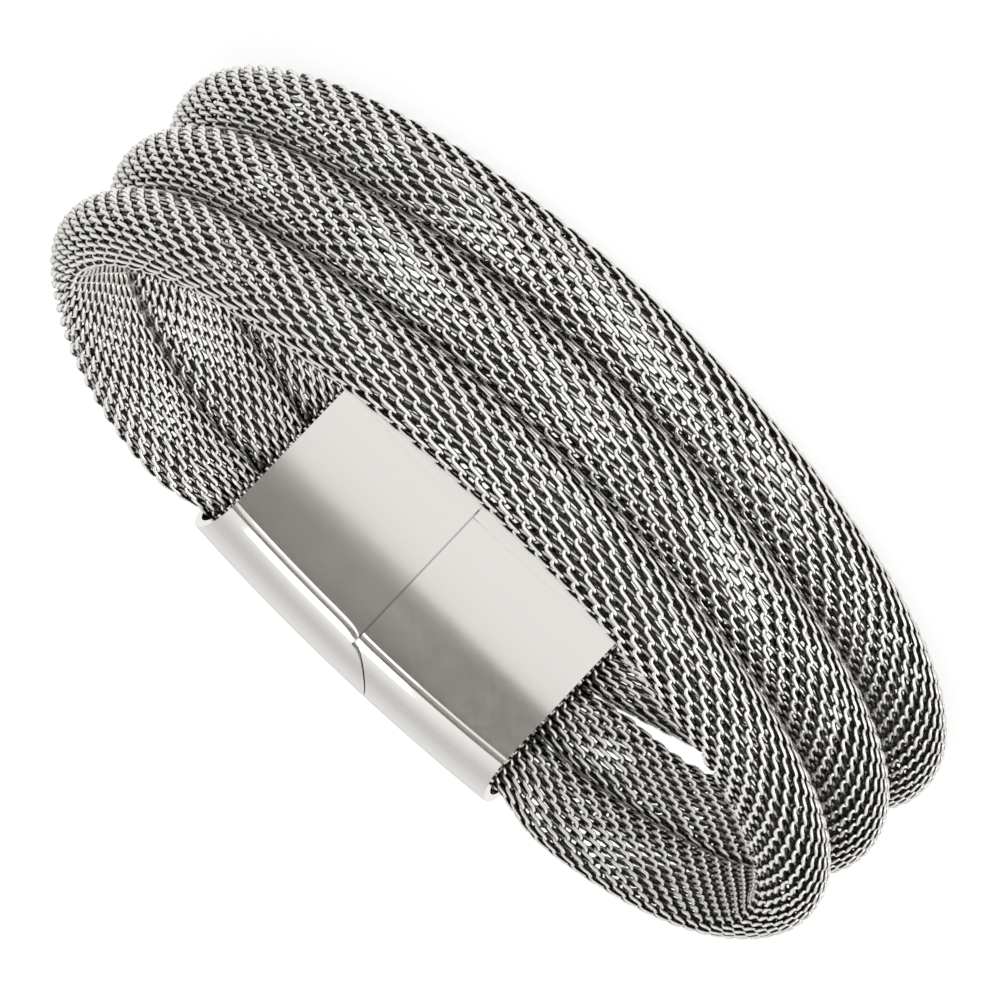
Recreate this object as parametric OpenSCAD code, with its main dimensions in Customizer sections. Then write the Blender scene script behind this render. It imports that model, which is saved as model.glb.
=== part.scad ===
// Mesh bracelet: three hollow knitted-wire strands side by side, joined by a two-half clasp.
// The loop lies on its side: its axis is +Z, the clasp is at +Y, the front is at -Y.
// A "turn" is the angle in degrees round the loop from the middle of the clasp, towards +X.

/* [Loop] */
// Radius of the stretch that the clasp follows
clasp_arc_r = 42.9; // [40:0.1:46]
// Radius of the shoulder beside the clasp
shoulder_arc_r = 24.0; // [22:0.1:27]
// Radius of the loop's end
end_arc_r = 29.5; // [28:0.1:32]

/* [Strands] */
// Thickness of the knitted wall
knit_wall = 0.8; // [0.6:0.05:1]
// How far the top strand strays upwards beside the clasp
top_stray = 0.4; // [0:0.05:0.45]
// How far the middle strand strays upwards there
middle_stray = 0.5; // [0:0.05:0.55]
// Turn at which they stray most
stray_turn = 287; // [280:1:305]
// How far the middle and bottom strands each draw back where they part
parting = 0.5; // [0:0.05:0.5]
// Turn at which they part most
parting_turn = 316; // [310:1:320]

/* [Clasp] */
// Thickness of the clasp through the band
clasp_t = 5.0; // [4.8:0.1:5.6]
// Width of the clasp across the band
clasp_w = 16.9; // [16.8:0.1:17.6]
// Wall of the clasp round a pocket
clasp_wall = 0.65; // [0.5:0.05:0.7]
// Depth of a pocket, along the arc
pocket_depth = 7; // [5:0.5:8]
// Place of the seam, from the middle of the clasp towards +X
seam_x = 0.4; // [-1:0.1:1]
// Length of the round nose at the seam
nose_length = 3.1; // [1:0.1:4]
// Half the thickness of the nose
nose_half_t = 2.3; // [1.8:0.05:2.3]
// Gap along the seam
seam_gap = 0.1; // [0.08:0.01:0.2]

/* [Hidden] */
$fn = 96;

// Turn at which the clasp ends and the shoulder begins, and at which each next arc begins
clasp_turn = 19;
shoulder_end_turn = 50;
end_arc_end_turn = 110;
half_turn = 180;

// Section of a strand, one row per station from the clasp to the front, the same on both sides.
// Columns: turn, half width across the band, depth outwards, depth inwards, spacing of strands,
// roundness of the inner side where it presses on the next strand: 1 is an ellipse, less is squarer.
TURN = 0;
HALF_W = 1;
OUTER_D = 2;
INNER_D = 3;
SPACING = 4;
ROUNDNESS = 5;
SECTIONS = [
    [0, 2.42, 1.55, 1.60, 5.00, 0.7],
    [19, 2.42, 1.55, 1.60, 5.00, 0.7],
    [30, 2.80, 2.15, 2.10, 5.78, 0.45],
    [50, 2.86, 1.95, 1.95, 6.05, 0.35],
    [70, 2.83, 1.85, 1.45, 6.00, 0.4],
    [90, 2.84, 2.95, 1.10, 5.98, 0.45],
    [115, 2.86, 3.20, 1.10, 5.98, 0.5],
    [140, 2.88, 2.95, 1.60, 6.00, 0.8],
    [180, 2.92, 2.25, 2.45, 6.03, 1]
];
rings = 64;
ring_sides = 18;
// Turns over which the strays fade
stray_spread = 18;
// Turns over which the parting fades
parting_spread = 14;
// How much narrower the middle strand is, between its neighbours
middle_squeeze = 0.04;

// Radius of the front arc, which closes the loop
front_arc_r = (clasp_arc_r * sin(clasp_turn)
    + shoulder_arc_r * (sin(shoulder_end_turn) - sin(clasp_turn))
    + end_arc_r * (sin(end_arc_end_turn) - sin(shoulder_end_turn))) / sin(end_arc_end_turn);

// Arcs of half the loop. Columns: first turn, last turn, radius.
ARCS = [
    [0, clasp_turn, clasp_arc_r],
    [clasp_turn, shoulder_end_turn, shoulder_arc_r],
    [shoulder_end_turn, end_arc_end_turn, end_arc_r],
    [end_arc_end_turn, half_turn, front_arc_r]
];

function total(list, i = 0) = i < len(list) ? list[i] + total(list, i + 1) : 0;
function clip(v, low, high) = max(low, min(high, v));
function mirrored(turn) = min(turn, 2 * half_turn - turn);

// Point of the loop's path at a turn, measured from the middle of the clasp
function arc_x(turn) = total([for (a = ARCS) a[2] * (sin(clip(turn, a[0], a[1])) - sin(a[0]))]);
function arc_y(turn) = total([for (a = ARCS) a[2] * (cos(clip(turn, a[0], a[1])) - cos(a[0]))]);

// Depth of the whole path, and the y that centres the finished bracelet on the origin
path_depth = -arc_y(half_turn);
front_y = -path_depth - SECTIONS[len(SECTIONS) - 1][OUTER_D];
back_y = clasp_t / 2;
shift_y = -(front_y + back_y) / 2;
function path_point(turn) = [
    (turn > half_turn ? -1 : 1) * arc_x(mirrored(turn)),
    arc_y(mirrored(turn)) + shift_y
];

// Value of a column of SECTIONS at a turn, on a smooth curve through the rows
function slope(i, c) = let (a = SECTIONS[max(i - 1, 0)], b = SECTIONS[min(i + 1, len(SECTIONS) - 1)])
    i == 0 || i == len(SECTIONS) - 1 ? 0 : (b[c] - a[c]) / (b[TURN] - a[TURN]);
function hermite(p, q, mp, mq, t) = (2 * t ^ 3 - 3 * t ^ 2 + 1) * p + (t ^ 3 - 2 * t ^ 2 + t) * mp
    + (3 * t ^ 2 - 2 * t ^ 3) * q + (t ^ 3 - t ^ 2) * mq;
function row_before(turn) = max([for (i = [0:len(SECTIONS) - 2]) if (SECTIONS[i][TURN] <= turn) i]);
function section(turn, c) =
    let (i = row_before(turn), a = SECTIONS[i], b = SECTIONS[i + 1], span = b[TURN] - a[TURN])
    hermite(a[c], b[c], slope(i, c) * span, slope(i + 1, c) * span, (turn - a[TURN]) / span);

// Height of the middle strand's line, which stands the bracelet on z = 0
height_step = 2;
middle_z = max([for (t = [0:height_step:half_turn]) section(t, SPACING) + section(t, HALF_W)]);
function stray(turn) = exp(-((turn - stray_turn) / stray_spread) ^ 2);
function strand_z(turn, side) = middle_z + side * section(mirrored(turn), SPACING)
    + (side == 1 ? top_stray : side == 0 ? middle_stray : 0) * stray(turn);

// A strand starts and ends inside the clasp's pockets
strand_clearance = 0.3;
first_turn = clasp_turn - (pocket_depth - strand_clearance) / clasp_arc_r * half_turn / PI;

// Share of the parting on a strand's side at an angle of its section: only the sides that face it part
function part_share(turn, side, a) = (side == 0 && sin(a) < 0) || (side == -1 && sin(a) > 0)
    ? exp(-((turn - parting_turn) / parting_spread) ^ 2) : 0;

// Roundness of the inner side at an angle of the section: a free or parted side is an ellipse
function roundness_at(turn, side, a) =
    let (pressed = section(mirrored(turn), ROUNDNESS))
    side * sin(a) > 0 ? 1 : pressed + (1 - pressed) * part_share(turn, side, a);

// One loop of points round a strand's wall, drawn in by inset
function ring(turn, side, inset) =
    let (
        m = mirrored(turn),
        p = path_point(turn),
        w = section(m, HALF_W) - inset - (side == 0 ? middle_squeeze : 0),
        outer = section(m, OUTER_D) - inset,
        inner = section(m, INNER_D) - inset,
        z = strand_z(turn, side)
    )
    [for (j = [0:ring_sides - 1])
        let (
            a = 2 * half_turn * j / ring_sides,
            d = cos(a) > 0 ? outer * cos(a) : -inner * abs(cos(a)) ^ roundness_at(turn, side, a),
            half = w - parting * part_share(turn, side, a)
        )
        [p[0] + d * sin(turn), p[1] + d * cos(turn), z + half * sin(a)]];

// Hollow strand: an outer wall, an inner wall and a rim at each end
module strand(side) {
    turns = [for (i = [0:rings - 1]) first_turn + (2 * half_turn - 2 * first_turn) * i / (rings - 1)];
    outer_points = [for (t = turns) each ring(t, side, 0)];
    inner_points = [for (t = turns) each ring(t, side, knit_wall)];
    count = rings * ring_sides;
    function at(i, j) = i * ring_sides + j % ring_sides;
    outer_faces = [for (i = [0:rings - 2], j = [0:ring_sides - 1])
        each [
            [at(i, j), at(i + 1, j), at(i + 1, j + 1)],
            [at(i, j), at(i + 1, j + 1), at(i, j + 1)]
        ]];
    inner_faces = [for (f = outer_faces) [f[2] + count, f[1] + count, f[0] + count]];
    last = rings - 1;
    first_rim = [for (j = [0:ring_sides - 1])
        each [
            [at(0, j), at(0, j + 1), at(0, j + 1) + count],
            [at(0, j), at(0, j + 1) + count, at(0, j) + count]
        ]];
    last_rim = [for (j = [0:ring_sides - 1])
        each [
            [at(last, j + 1), at(last, j), at(last, j) + count],
            [at(last, j + 1), at(last, j) + count, at(last, j + 1) + count]
        ]];
    polyhedron(concat(outer_points, inner_points), concat(outer_faces, inner_faces, first_rim, last_rim));
}

module strand_top() {
    color("silver") strand(1);
}

module strand_middle() {
    color("silver") strand(0);
}

module strand_bottom() {
    color("silver") strand(-1);
}

// Section of the clasp with round sides, drawn in by inset, with x along the arc's radius
module clasp_profile(inset) {
    t = clasp_t - 2 * inset;
    side_z = (clasp_w - clasp_t) / 2;
    translate([clasp_arc_r, 0]) {
        square([t, 2 * side_z], center = true);
        translate([0, side_z]) circle(d = t);
        translate([0, -side_z]) circle(d = t);
    }
}

// The profile swept along the clasp's arc between two turns
module clasp_sweep(inset, from_turn, to_turn) {
    translate([0, shift_y - clasp_arc_r, middle_z])
        rotate([0, 0, 90 - to_turn])
            rotate_extrude(angle = to_turn - from_turn) clasp_profile(inset);
}

// Everything on the +X side of the seam, with its round nose, grown by grow
module seam_side(grow) {
    nose = [for (a = [-90:nose_step:90])
        [-(nose_length + grow) * cos(a), (nose_half_t + grow) * sin(a)]];
    translate([seam_x, shift_y, middle_z - seam_block / 2]) {
        translate([-grow, -seam_block / 2, 0]) cube(seam_block);
        linear_extrude(seam_block) polygon(nose);
    }
}

pocket_turn = clasp_turn - pocket_depth / clasp_arc_r * half_turn / PI;
// How far a pocket's cut runs past the clasp's end
overrun_turn = 2;
// Angle between the corners of the nose's outline
nose_step = 9;
// Side of the block that holds all of the clasp on one side of the seam
seam_block = 50;

module clasp_left() {
    color("gainsboro") difference() {
        intersection() {
            clasp_sweep(0, -clasp_turn, clasp_turn);
            seam_side(0);
        }
        clasp_sweep(clasp_wall, pocket_turn, clasp_turn + overrun_turn);
    }
}

module clasp_right() {
    color("gainsboro") difference() {
        clasp_sweep(0, -clasp_turn, clasp_turn);
        seam_side(seam_gap);
        clasp_sweep(clasp_wall, -clasp_turn - overrun_turn, -pocket_turn);
    }
}

strand_top();
strand_middle();
strand_bottom();
clasp_left();
clasp_right();
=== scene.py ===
import math
import bpy
import numpy as np
from mathutils import Matrix, Vector


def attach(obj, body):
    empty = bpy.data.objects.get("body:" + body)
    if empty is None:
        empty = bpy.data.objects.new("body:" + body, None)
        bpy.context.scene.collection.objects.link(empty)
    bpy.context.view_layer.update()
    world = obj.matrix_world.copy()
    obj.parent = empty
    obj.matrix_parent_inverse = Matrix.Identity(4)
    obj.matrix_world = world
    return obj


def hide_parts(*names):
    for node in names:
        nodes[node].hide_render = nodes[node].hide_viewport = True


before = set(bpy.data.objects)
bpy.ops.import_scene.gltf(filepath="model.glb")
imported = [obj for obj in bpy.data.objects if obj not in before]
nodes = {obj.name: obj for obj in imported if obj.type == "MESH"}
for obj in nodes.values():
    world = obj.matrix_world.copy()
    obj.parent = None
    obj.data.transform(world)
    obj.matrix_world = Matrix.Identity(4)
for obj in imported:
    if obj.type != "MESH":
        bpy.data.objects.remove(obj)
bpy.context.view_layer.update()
MM = 0.001

# The loop, in millimetres, as in the part's source: radii of its arcs from the clasp to the front,
# the turns in degrees at which they meet, and the clasp
CLASP_ARC_R = 42.9
SHOULDER_ARC_R = 24.0
END_ARC_R = 29.5
BREAKS = [0.0, 19.0, 50.0, 110.0, 180.0]
CLASP_T = 5.0
CLASP_W = 16.9
POCKET_DEPTH = 7.0
STRAND_CLEARANCE = 0.3
# how far each strand strays upwards, by its side, and where the middle and bottom ones part
STRAY = {1: 0.4, 0: 0.5, -1: 0.0}
STRAY_TURN = 287.0
STRAY_SPREAD = 18.0
PARTING = 0.5
PARTING_TURN = 316.0
PARTING_SPREAD = 14.0
# section of a strand: turn, half width, outer depth, inner depth, spacing of strands, and roundness
# of the inner side where it presses on the next strand
TURN, HALF_W, OUTER_D, INNER_D, SPACING, ROUNDNESS = range(6)
SECTIONS = np.array([
    [0, 2.42, 1.55, 1.60, 5.00, 0.7],
    [19, 2.42, 1.55, 1.60, 5.00, 0.7],
    [30, 2.80, 2.15, 2.10, 5.78, 0.45],
    [50, 2.86, 1.95, 1.95, 6.05, 0.35],
    [70, 2.83, 1.85, 1.45, 6.00, 0.4],
    [90, 2.84, 2.95, 1.10, 5.98, 0.45],
    [115, 2.86, 3.20, 1.10, 5.98, 0.5],
    [140, 2.88, 2.95, 1.60, 6.00, 0.8],
    [180, 2.92, 2.25, 2.45, 6.03, 1],
])

# The knitted wire: flat rings of coils, each ring hooked into its neighbours
WIRE_R = 0.168
# half the length of a coil's legs, and half the thickness of a flat ring between its wires
LEG_HALF = 0.66
COIL_HALF_T = 0.19
# half the gap between the wires of two neighbouring strands
WIRE_GAP = 0.01
RING_PITCH = 0.98
LEGS = 14
SIDES = 5
# turns of one coil at which its wire has a corner, in degrees: closer together in the hooks
COIL_TURNS = np.radians([0, 22, 50, 90, 130, 158, 180, 202, 230, 270, 310, 338])
STEPS = len(COIL_TURNS)
WIRE_POINTS = LEGS * STEPS
# how much of the sideways step is made in the hooks, and how early the wire comes to the outside
HOOK_SHARE = 0.45
LEG_FLATNESS = 0.65
EARLY = math.radians(18)
# where the first leg of a ring stands, in legs from the middle of the outer side
FIRST_LEG = 0.125
# how far the wire wanders along the strand, outwards, and round the strand as a share of the round
WANDER_ALONG = 0.020
WANDER_OUT = 0.012
WANDER_ROUND = 0.0025
# the wander is a sum of waves, so many to a ring along the strand and so many round it, and a
# share that is each leg's own
WAVES = 6
WAVES_ALONG = (0.02, 0.35)
WAVES_ROUND = (1, 5)
LEG_SHARE = 0.5
# random seed of the bottom strand, and its step from one strand to the next
SEED = 100
SEED_STEP = 17
# points round a strand's outline when its length is measured, and the small angle between the two
# points that give its direction
OUTLINE_POINTS = 241
PHI_STEP = 0.02

# The clasp's crease where the flat face meets the round side: place, width on each side and depth
CREASE_AT = (CLASP_W - CLASP_T) / 2
CREASE_IN = 0.16
CREASE_OUT = 0.38
CREASE_DEPTH = 0.045
# painted shade along the clasp's seam on the flat faces, and how far from it the crease bends
SEAM_AT = 0.35
SEAM_EDGE = 0.12
BEND_REACH = 0.6
# how squarely a surface faces the band's inner or outer side to count as the flat face
FLAT_FROM = 0.93

# Looks: noise scale, noise detail and span of the steel's roughness
WIRE_ROUGHNESS = (1400, 3, (0.22, 0.36))
CLASP_NOISE = (260, 4)
CLASP_ROUGHNESS_SPAN = 0.03
# lean of each clasp half's face in degrees, its least roughness, and the crease's bend at the seam
CLASP_LOOKS = {"clasp_left": (2.7, 0.08, -0.4), "clasp_right": (2.6, 0.06, 0.06)}
# where the wire's painted shade turns to a painted bright crest, and across the wall of the tube;
# the inner crest is a smaller painted highlight, and the inside of the tube gets painted shade
CREST_RISE = (0.10, 0.72)
INNER_CREST = 0.32
WALL_RISE = (-1.0, 0.4)
INSIDE_SHADE = 0.60
WHITE = (1, 1, 1, 1)
BLACK = (0, 0, 0, 1)
CLASP_STEEL = (0.765, 0.748, 0.715, 1)
# painted shade of the clasp's seam
SEAM_PAINTED_SHADE = (0.46, 0.45, 0.43, 1)
# painted shade of the wire's flanks and inside, up to the steel's own colour on its crest
WIRE_PAINTED_SHADE = (0.020, 0.019, 0.018, 1)
WIRE_BRIGHT = (0.95, 0.925, 0.88, 1)
FLOOR_GREY = (0.2, 0.2, 0.2, 1)
FLOOR_ROUGHNESS = 0.9
FLOOR_GLOW = 0.85

# Grey of the surroundings from the front (0) to the back (1), with two thin dark gaps between lights
SURROUNDINGS = (
    (0.0, 1.0), (0.05, 0.89), (0.13, 0.78), (0.235, 0.66), (0.34, 0.60), (0.345, 0.42), (0.35, 0.60),
    (0.50, 0.60), (0.69, 0.70), (0.775, 0.73), (0.78, 0.45), (0.785, 0.74), (0.87, 0.76), (1.0, 0.75))
# heights over which they rise from dark at the horizon, and their brightness there and above
HORIZON = (0.04, 0.16)
HORIZON_LIGHT = (0.15, 1.24)

# Area lights, in metres and watts: name, place, width, height, power
LIGHTS = (
    ("front", (-0.10, -0.60, 0.22), 0.5, 0.3, 0.4),
    ("right", (-0.58, -0.10, 0.13), 0.3, 0.25, 0.9))
LIGHT_AIM = (0, 0, 0.009)
FLOOR_SIZE = 6

# The camera, in millimetres and degrees: place, heading from +Y towards +X, pitch and roll
CAMERA_AT = (3.5072, -488.0688, 146.0380)
CAMERA_HEADING = -0.416
CAMERA_PITCH = -15.753
CAMERA_ROLL = -136.555
CAMERA_LENS = 270
CAMERA_SENSOR = 36
CAMERA_CLIP = (0.01, 20)


def sin_d(a):
    return np.sin(np.radians(a))


def cos_d(a):
    return np.cos(np.radians(a))


FRONT_ARC_R = (CLASP_ARC_R * sin_d(BREAKS[1])
               + SHOULDER_ARC_R * (sin_d(BREAKS[2]) - sin_d(BREAKS[1]))
               + END_ARC_R * (sin_d(BREAKS[3]) - sin_d(BREAKS[2]))) / sin_d(BREAKS[3])
ARC_R = [CLASP_ARC_R, SHOULDER_ARC_R, END_ARC_R, FRONT_ARC_R]


def mirrored(turn):
    return np.minimum(turn, 360 - turn)


def path_point(turn):
    """x and y of the path at a turn, from the middle of the clasp"""
    m = mirrored(turn)
    x, y = 0 * m, 0 * m
    for a, b, r in zip(BREAKS[:-1], BREAKS[1:], ARC_R):
        t = np.clip(m, a, b)
        x = x + r * (sin_d(t) - sin_d(a))
        y = y + r * (cos_d(t) - cos_d(a))
    return np.where(turn > 180, -x, x), y


def section(m, column):
    """a column of SECTIONS at a mirrored turn, on a smooth curve through the rows"""
    turn, val = SECTIONS[:, TURN], SECTIONS[:, column]
    slope = np.zeros(len(turn))
    slope[1:-1] = (val[2:] - val[:-2]) / (turn[2:] - turn[:-2])
    i = np.clip(np.searchsorted(turn, m, side="right") - 1, 0, len(turn) - 2)
    span = turn[i + 1] - turn[i]
    t = (m - turn[i]) / span
    return ((2 * t**3 - 3 * t**2 + 1) * val[i] + (t**3 - 2 * t**2 + t) * slope[i] * span
            + (3 * t**2 - 2 * t**3) * val[i + 1] + (t**3 - t**2) * slope[i + 1] * span)


# height of the middle strand's line, and the shift that centres the bracelet on the origin
HEIGHT_STEP = 2.0
stations = np.arange(0, 180 + HEIGHT_STEP / 2, HEIGHT_STEP)
MIDDLE_Z = (section(stations, SPACING) + section(stations, HALF_W)).max()
PATH_DEPTH = -path_point(np.array(180.0))[1]
SHIFT_Y = (PATH_DEPTH + SECTIONS[-1, OUTER_D] - CLASP_T / 2) / 2

# arc length and curvature along the path against turn; one arc's radius blends into the next
# over a few degrees on each side of its break
ARC_BLEND = [2, 2, 4]
TABLE_STEP = 0.05
turn_table = np.linspace(0, 360, round(360 / TABLE_STEP) + 1)
path_x, path_y = path_point(turn_table)
len_table = np.concatenate([[0], np.cumsum(np.hypot(np.diff(path_x), np.diff(path_y)))])
blend_turns = [b + s * w for b, w in zip(BREAKS[1:-1], ARC_BLEND) for s in (-1, 1)]
curve_table = 1 / np.interp(mirrored(turn_table), [BREAKS[0], *blend_turns, BREAKS[-1]],
                            np.repeat(ARC_R, 2))


def strand_z(turn, side):
    """height of a strand's line"""
    stray = STRAY[side] * np.exp(-((turn - STRAY_TURN) / STRAY_SPREAD) ** 2)
    return MIDDLE_Z + side * section(mirrored(turn), SPACING) + stray


def outline(turn, phi, side, inset):
    """depth and height of a strand's outline at a turn, drawn in by inset"""
    m = mirrored(turn)
    c, s = np.cos(phi), np.sin(phi)
    # only the sides of the middle and bottom strands that face each other part
    parts = {1: s > 2, 0: s < 0, -1: s > 0}[side]
    share = np.where(parts, np.exp(-((turn - PARTING_TURN) / PARTING_SPREAD) ** 2), 0.0)
    free = side * s > 0
    pressed = section(m, ROUNDNESS)
    power = np.where(free, 1.0, pressed + (1 - pressed) * share)
    d = np.where(c > 0, (section(m, OUTER_D) - inset) * c,
                 -(section(m, INNER_D) - inset) * np.abs(c) ** power)
    # the wires of two neighbours meet where their solids keep a gap, except where the strands part
    touch = section(m, SPACING) / 2 - WIRE_GAP
    apart = section(m, HALF_W) - PARTING
    w = np.where(free, section(m, HALF_W), touch + (apart - touch) * share)
    return d, (w - inset) * s


def phi_at_share(turn, share, side, inset):
    """angle in a strand's section at a share of the length round its outline"""
    phi = np.linspace(0, 2 * np.pi, OUTLINE_POINTS)
    d, z = outline(turn, phi[None, :], side, inset)
    length = np.concatenate([np.zeros((len(turn), 1)),
                             np.cumsum(np.hypot(np.diff(d), np.diff(z)), axis=1)], axis=1)
    length /= length[:, -1:]
    return np.stack([np.interp(s, row, phi) for s, row in zip(share % 1.0, length)])


def wander(rng, amount, count):
    """a smooth, small stray of the wire of every ring from its even place"""
    ring = np.arange(count)[:, None]
    even = np.arange(WIRE_POINTS)[None, :] / WIRE_POINTS
    waves = np.zeros((count, WIRE_POINTS))
    for _ in range(WAVES):
        along, around = rng.uniform(*WAVES_ALONG), rng.integers(*WAVES_ROUND)
        phase = rng.uniform(0, 2 * np.pi)
        waves += np.sin(2 * np.pi * (along * ring + around * even) + phase)
    per_leg = np.repeat(rng.normal(0, 1, (count, LEGS)), STEPS, axis=1)
    return amount * (waves / WAVES + LEG_SHARE * per_leg)


def wire_lines(side, from_ring, to_ring, count, first_len, last_len):
    """centre lines of a strand's coils, their outward directions, and how far each point of a coil
    stands out of the wall's middle"""
    ring = np.arange(from_ring, to_ring)[:, None]
    theta = (2 * np.pi * np.arange(LEGS)[:, None] + COIL_TURNS[None, :]).reshape(1, -1)
    share = (theta + HOOK_SHARE * np.sin(2 * theta)) / (2 * np.pi * LEGS)
    share = share + (FIRST_LEG + (ring % 2) / 2) / LEGS
    rng = np.random.default_rng(SEED + SEED_STEP * (side + 1))
    stray_len, stray_share, stray_out = (
        wander(rng, amount, count)[from_ring:to_ring]
        for amount in (WANDER_ALONG, WANDER_ROUND, WANDER_OUT))

    centre_len = first_len + (last_len - first_len) * (ring + 0.5) / count
    centre_turn = np.interp(centre_len, len_table, turn_table)
    inset = WIRE_R + COIL_HALF_T
    phi = phi_at_share(centre_turn, share + stray_share, side, inset)
    along = -LEG_HALF * np.cos(theta)
    lift = np.sin(theta + EARLY)
    coil = COIL_HALF_T * np.sign(lift) * np.abs(lift) ** LEG_FLATNESS

    # a leg keeps its length where the path bends
    curve = np.interp(centre_len, len_table, curve_table)
    depth = outline(centre_turn, phi, side, inset)[0]
    turn = np.interp(centre_len + (along + stray_len) / (1 + curve * depth), len_table, turn_table)
    d, z = outline(turn, phi, side, inset)
    d_before, z_before = outline(turn, phi - PHI_STEP, side, inset)
    d_after, z_after = outline(turn, phi + PHI_STEP, side, inset)
    out_d, out_z = z_after - z_before, d_before - d_after
    out_length = np.hypot(out_d, out_z)
    out_d, out_z = out_d / out_length, out_z / out_length
    d = d + out_d * (coil + stray_out)
    z = z + out_z * (coil + stray_out)
    x, y = path_point(turn)
    line = np.stack([x + d * sin_d(turn), y + SHIFT_Y + d * cos_d(turn),
                     strand_z(turn, side) + z], axis=-1)
    outward = np.stack([out_d * sin_d(turn), out_d * cos_d(turn), out_z], axis=-1)
    return line, outward, np.broadcast_to(coil, line.shape[:2])


def wire_mesh(name, line, outward, coil):
    """closed tubes of wire along the centre lines"""
    rings, points = line.shape[:2]
    tangent = np.roll(line, -1, axis=1) - np.roll(line, 1, axis=1)
    tangent /= np.linalg.norm(tangent, axis=-1, keepdims=True)
    e1 = outward - (outward * tangent).sum(-1, keepdims=True) * tangent
    e1 /= np.linalg.norm(e1, axis=-1, keepdims=True)
    e2 = np.cross(tangent, e1)
    a = 2 * np.pi * np.arange(SIDES) / SIDES
    spoke = np.cos(a)[:, None] * e1[:, :, None, :] + np.sin(a)[:, None] * e2[:, :, None, :]
    verts = (line[:, :, None, :] + WIRE_R * spoke).reshape(-1, 3) * MM

    r = np.arange(rings)[:, None, None]
    i = np.arange(points)[None, :, None]
    j = np.arange(SIDES)[None, None, :]

    def at(i, j):
        return (r * points + i % points) * SIDES + j % SIDES
    quads = np.stack([at(i, j), at(i, j + 1), at(i + 1, j + 1), at(i + 1, j)], axis=-1).reshape(-1, 4)
    # for painted light and shade: the coil's inner or outer side of the wall, and the wire's own
    # outer crest
    return mesh_object(name, verts, quads, {
        "coil_side": np.repeat((coil / COIL_HALF_T).reshape(-1), SIDES),
        "crest": np.tile(np.cos(a), rings * points)})


def mesh_object(name, verts, quads, values):
    """smooth mesh of quads, with named values on its vertices"""
    me = bpy.data.meshes.new(name)
    me.vertices.add(len(verts))
    me.vertices.foreach_set("co", verts.astype(np.float32).ravel())
    me.loops.add(quads.size)
    me.loops.foreach_set("vertex_index", quads.astype(np.int32).ravel())
    me.polygons.add(len(quads))
    me.polygons.foreach_set("loop_start", np.arange(0, quads.size, 4, dtype=np.int32))
    me.polygons.foreach_set("use_smooth", np.ones(len(quads), dtype=bool))
    me.update(calc_edges=True)
    for key, value in values.items():
        attribute = me.attributes.new(key, "FLOAT", "POINT")
        attribute.data.foreach_set("value", value.astype(np.float32))
    ob = bpy.data.objects.new(name, me)
    bpy.context.scene.collection.objects.link(ob)
    return ob


def new_material(name):
    mat = bpy.data.materials.new(name)
    mat.use_nodes = True
    return mat, mat.node_tree, mat.node_tree.nodes["Principled BSDF"]


def calc(nt, operation, *values):
    """output of a Math node; each value is a number or another node's output"""
    node = nt.nodes.new("ShaderNodeMath")
    node.operation = operation
    for socket, value in zip(node.inputs, values):
        if isinstance(value, bpy.types.NodeSocket):
            nt.links.new(value, socket)
        else:
            socket.default_value = value
    return node.outputs[0]


def remap(nt, value, from_span=(0.0, 1.0), to_span=(0.0, 1.0), smooth=False):
    """output of a Map Range node"""
    node = nt.nodes.new("ShaderNodeMapRange")
    node.interpolation_type = "SMOOTHSTEP" if smooth else "LINEAR"
    nt.links.new(value, node.inputs["Value"])
    node.inputs["From Min"].default_value, node.inputs["From Max"].default_value = from_span
    node.inputs["To Min"].default_value, node.inputs["To Max"].default_value = to_span
    return node.outputs["Result"]


def ramp(nt, value, stops):
    """output of a Color Ramp node; each stop is a place and a colour"""
    node = nt.nodes.new("ShaderNodeValToRGB")
    nt.links.new(value, node.inputs["Fac"])
    elements = node.color_ramp.elements
    for element, (place, colour) in zip(elements, (stops[0], stops[-1])):
        element.position, element.color = place, colour
    for place, colour in stops[1:-1]:
        elements.new(place).color = colour
    return node.outputs["Color"]


def split(nt, vector):
    """x, y and z outputs of a vector"""
    node = nt.nodes.new("ShaderNodeSeparateXYZ")
    nt.links.new(vector, node.inputs["Vector"])
    return node.outputs


def steel(name, noise_scale, noise_detail, roughness):
    """metal material whose roughness wanders over a span, and its texture coordinates"""
    mat, nt, bsdf = new_material(name)
    bsdf.inputs["Metallic"].default_value = 1.0
    coordinates = nt.nodes.new("ShaderNodeTexCoord")
    noise = nt.nodes.new("ShaderNodeTexNoise")
    noise.inputs["Scale"].default_value = noise_scale
    noise.inputs["Detail"].default_value = noise_detail
    nt.links.new(coordinates.outputs["Object"], noise.inputs["Vector"])
    nt.links.new(remap(nt, noise.outputs["Fac"], to_span=roughness), bsdf.inputs["Roughness"])
    return mat, nt, bsdf, coordinates


def wire_material():
    """steel wire with painted light and shade: a bright crest, dark flanks, darker inside the tube"""
    mat, nt, bsdf, _ = steel("wire", *WIRE_ROUGHNESS)

    def attribute(key):
        node = nt.nodes.new("ShaderNodeAttribute")
        node.attribute_name = key
        return node.outputs["Fac"]
    # painted light and shade: bright on the wire's crests, dark on its flanks, darker inside the tube
    crest = attribute("crest")
    crest = calc(nt, "MAXIMUM", crest, calc(nt, "MULTIPLY", crest, -INNER_CREST))
    painted_crest_light = remap(nt, crest, CREST_RISE, smooth=True)
    outside = remap(nt, attribute("coil_side"), WALL_RISE, (INSIDE_SHADE, 1.0), smooth=True)
    shade = calc(nt, "MULTIPLY", painted_crest_light, outside)
    nt.links.new(ramp(nt, shade, ((0.0, WIRE_PAINTED_SHADE), (1.0, WIRE_BRIGHT))), bsdf.inputs["Base Color"])
    return mat


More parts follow.
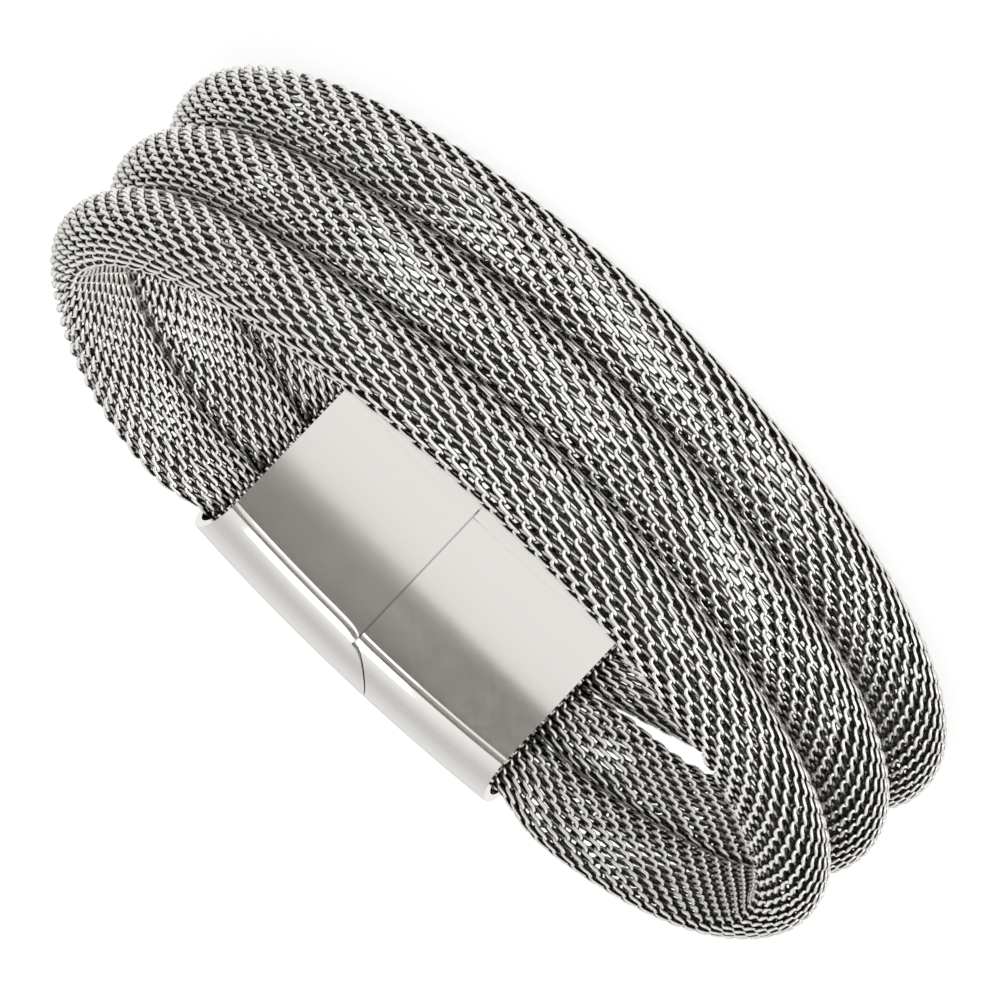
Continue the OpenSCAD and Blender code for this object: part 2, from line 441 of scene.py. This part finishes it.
def clasp_material(name, tilt, roughness, bend, seam, middle):
    """polished steel whose face leans back by a tilt in degrees, with painted shade along the
    seam and a crease along the round sides, which bends there"""
    mat, nt, bsdf, coordinates = steel(
        name, *CLASP_NOISE, (roughness, roughness + CLASP_ROUGHNESS_SPAN))
    x, _, z = split(nt, coordinates.outputs["Object"])
    facing = split(nt, coordinates.outputs["Normal"])["Y"]

    lean = calc(nt, "MULTIPLY", z, -math.tan(math.radians(tilt)))
    from_seam = calc(nt, "ABSOLUTE", calc(nt, "SUBTRACT", x, seam))
    near_seam = calc(nt, "EXPONENT", calc(nt, "MULTIPLY", from_seam, -1 / (BEND_REACH * MM)))
    from_middle = calc(nt, "ABSOLUTE", calc(nt, "SUBTRACT", z, middle))
    from_middle = calc(nt, "ADD", from_middle, calc(nt, "MULTIPLY", near_seam, bend * MM))
    across = remap(nt, from_middle, ((CREASE_AT - CREASE_IN) * MM, (CREASE_AT + CREASE_OUT) * MM))
    bottom = CREASE_IN / (CREASE_IN + CREASE_OUT)
    valley = ramp(nt, across, ((0.0, WHITE), (bottom, BLACK), (1.0, WHITE)))
    bump = nt.nodes.new("ShaderNodeBump")
    bump.inputs["Strength"].default_value = 1.0
    bump.inputs["Distance"].default_value = 1.0
    height = calc(nt, "ADD", lean, calc(nt, "MULTIPLY", valley, CREASE_DEPTH * MM))
    nt.links.new(height, bump.inputs["Height"])
    nt.links.new(bump.outputs["Normal"], bsdf.inputs["Normal"])

    # painted shade along the seam, on the flat faces only
    edge = remap(nt, from_seam, (SEAM_EDGE * MM, 0.0))
    flat = remap(nt, calc(nt, "ABSOLUTE", facing), (FLAT_FROM, 1.0))
    painted_seam_shade = calc(nt, "MULTIPLY", edge, flat)
    nt.links.new(ramp(nt, painted_seam_shade, ((0.0, CLASP_STEEL), (1.0, SEAM_PAINTED_SHADE))), bsdf.inputs["Base Color"])
    return mat


def floor_material():
    """plain white floor that glows a little, so that it stays pale under the bracelet"""
    mat, _, bsdf = new_material("floor")
    bsdf.inputs["Base Color"].default_value = FLOOR_GREY
    bsdf.inputs["Roughness"].default_value = FLOOR_ROUGHNESS
    bsdf.inputs["Emission Color"].default_value = WHITE
    bsdf.inputs["Emission Strength"].default_value = FLOOR_GLOW
    return mat


def area_light(name, place, width, height, power):
    data = bpy.data.lights.new(name, "AREA")
    data.shape = "RECTANGLE"
    data.size, data.size_y = width, height
    data.energy = power
    ob = bpy.data.objects.new(name, data)
    bpy.context.scene.collection.objects.link(ob)
    ob.location = place
    ob.rotation_euler = (Vector(LIGHT_AIM) - Vector(place)).to_track_quat("-Z", "Y").to_euler()


def surroundings():
    """soft surroundings: bright in front, a little darker behind, dark at the horizon"""
    world = bpy.data.worlds.new("world")
    bpy.context.scene.world = world
    world.use_nodes = True
    nt = world.node_tree
    background = nt.nodes["Background"]
    background.inputs["Color"].default_value = WHITE
    direction = split(nt, nt.nodes.new("ShaderNodeTexCoord").outputs["Generated"])
    front_to_back = remap(nt, direction["Y"], (-1.0, 1.0))
    greys = ramp(nt, front_to_back, [(place, (grey, grey, grey, 1)) for place, grey in SURROUNDINGS])
    rise = remap(nt, direction["Z"], HORIZON, HORIZON_LIGHT, smooth=True)
    nt.links.new(calc(nt, "MULTIPLY", greys, rise), background.inputs["Strength"])


def camera():
    """camera at the photograph's angle"""
    data = bpy.data.cameras.new("camera")
    data.sensor_width = CAMERA_SENSOR
    data.lens = CAMERA_LENS
    data.clip_start, data.clip_end = CAMERA_CLIP
    ob = bpy.data.objects.new("camera", data)
    bpy.context.scene.collection.objects.link(ob)
    ob.matrix_world = (Matrix.Translation(Vector(CAMERA_AT) * MM)
                       @ Matrix.Rotation(math.radians(-CAMERA_HEADING), 4, "Z")
                       @ Matrix.Rotation(math.radians(90 + CAMERA_PITCH), 4, "X")
                       @ Matrix.Rotation(math.radians(CAMERA_ROLL), 4, "Z"))
    return ob


# the strands, each in two pieces
wire = wire_material()
first_turn = BREAKS[1] - math.degrees((POCKET_DEPTH - STRAND_CLEARANCE) / CLASP_ARC_R)
first_len = np.interp(first_turn, turn_table, len_table) + LEG_HALF + WIRE_R
last_len = len_table[-1] - first_len
count = int(round((last_len - first_len) / RING_PITCH))
half = count // 2
for node, side in (("strand_top", 1), ("strand_middle", 0), ("strand_bottom", -1)):
    for part, a, b in (("right_end", 0, half), ("left_end", half, count)):
        lines = wire_lines(side, a, b, count, first_len, last_len)
        ob = wire_mesh(f"{node}_wire_{part}", *lines)
        ob.data.materials.append(wire)
        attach(ob, "root")
        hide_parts(node)

# the clasp's halves
for node, (tilt, roughness, bend) in CLASP_LOOKS.items():
    ob = nodes[node]
    seam, _, middle = ob.matrix_world.inverted() @ Vector((SEAM_AT * MM, 0, float(MIDDLE_Z) * MM))
    ob.data.materials.clear()
    ob.data.materials.append(clasp_material(f"polished_{node}", tilt, roughness, bend, seam, middle))

# the floor, lights and camera
bpy.ops.mesh.primitive_plane_add(size=FLOOR_SIZE, location=(0, 0, 0))
floor = bpy.context.object
floor.name = "floor"
floor.data.materials.append(floor_material())
for light in LIGHTS:
    area_light(*light)
surroundings()
bpy.context.scene.camera = camera()
bpy.context.scene.view_settings.view_transform = "Standard"
